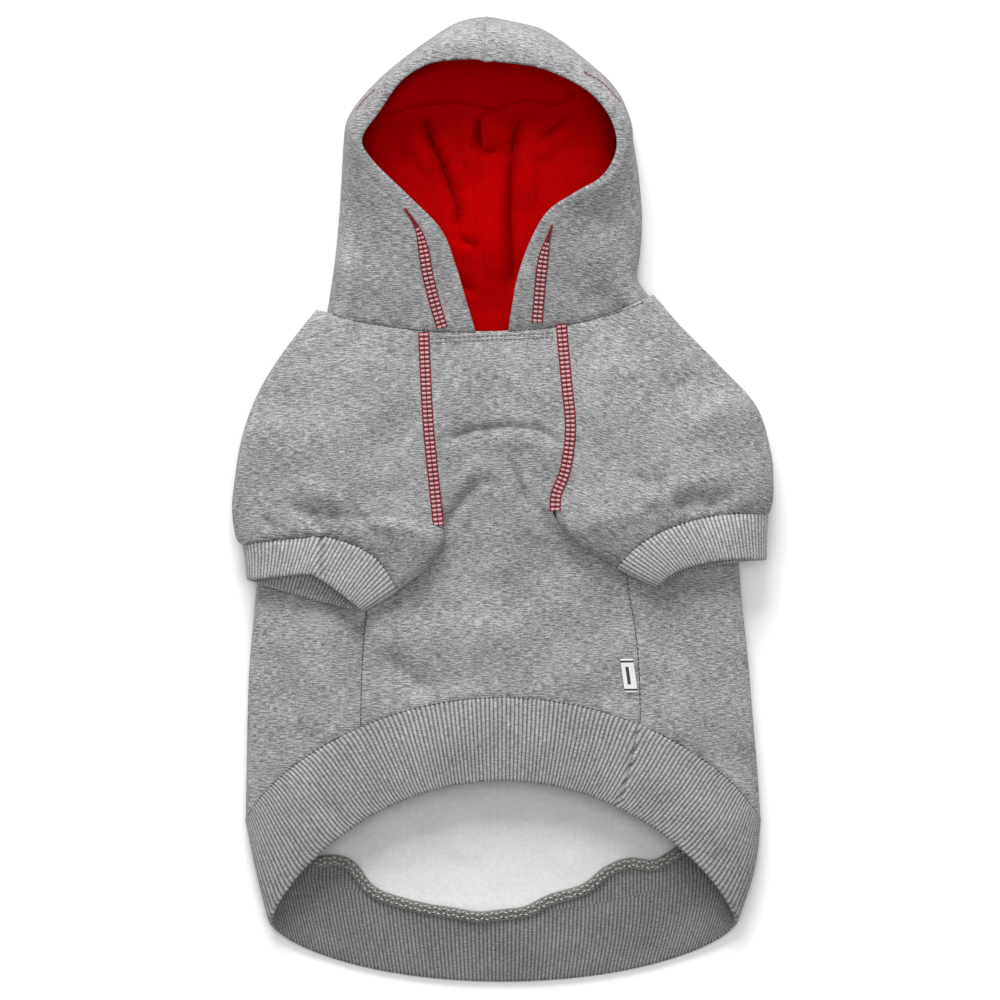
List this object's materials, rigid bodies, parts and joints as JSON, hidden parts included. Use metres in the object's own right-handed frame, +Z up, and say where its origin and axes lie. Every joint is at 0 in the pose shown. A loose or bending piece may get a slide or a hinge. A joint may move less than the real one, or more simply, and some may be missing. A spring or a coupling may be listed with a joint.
{
  "type": "dog hoodie",
  "caption": "Raglan-sleeved dog hoodie in marled fleece, lying flat on its back with its lined hood open, ribbed cuffs and a curved ribbed hem open for the dog's body.",
  "frame": {"origin": "on the floor under the middle of the garment's bounding box, as it lies on its back", "axes": "+X towards the right of the garment as seen from above, +Y from the hem to the hood, +Z up from the floor, towards the belly side"},
  "size_m": [0.2702, 0.483, 0.0451],
  "materials": {
    "fleece": "grey marl sweatshirt knit, brushed light grey inside",
    "rib": "grey marl rib knit",
    "lining": "plain red jersey",
    "seam_tape": "overlocked seam allowance, dark grey thread with light flecks",
    "label": "plain woven satin label"
  },
  "bodies": {
    "root": {"back_panel": "fleece", "belly_panel": "fleece", "hem_band": "rib", "hem_seam": "seam_tape", "sleeve_left": "fleece", "sleeve_right": "fleece", "cuff_left": "rib", "cuff_right": "rib", "hood_left": "fleece", "hood_right": "fleece", "hood_lining_left": "lining", "hood_lining_right": "lining", "side_label": "label"}
  },
  "joints": []
}
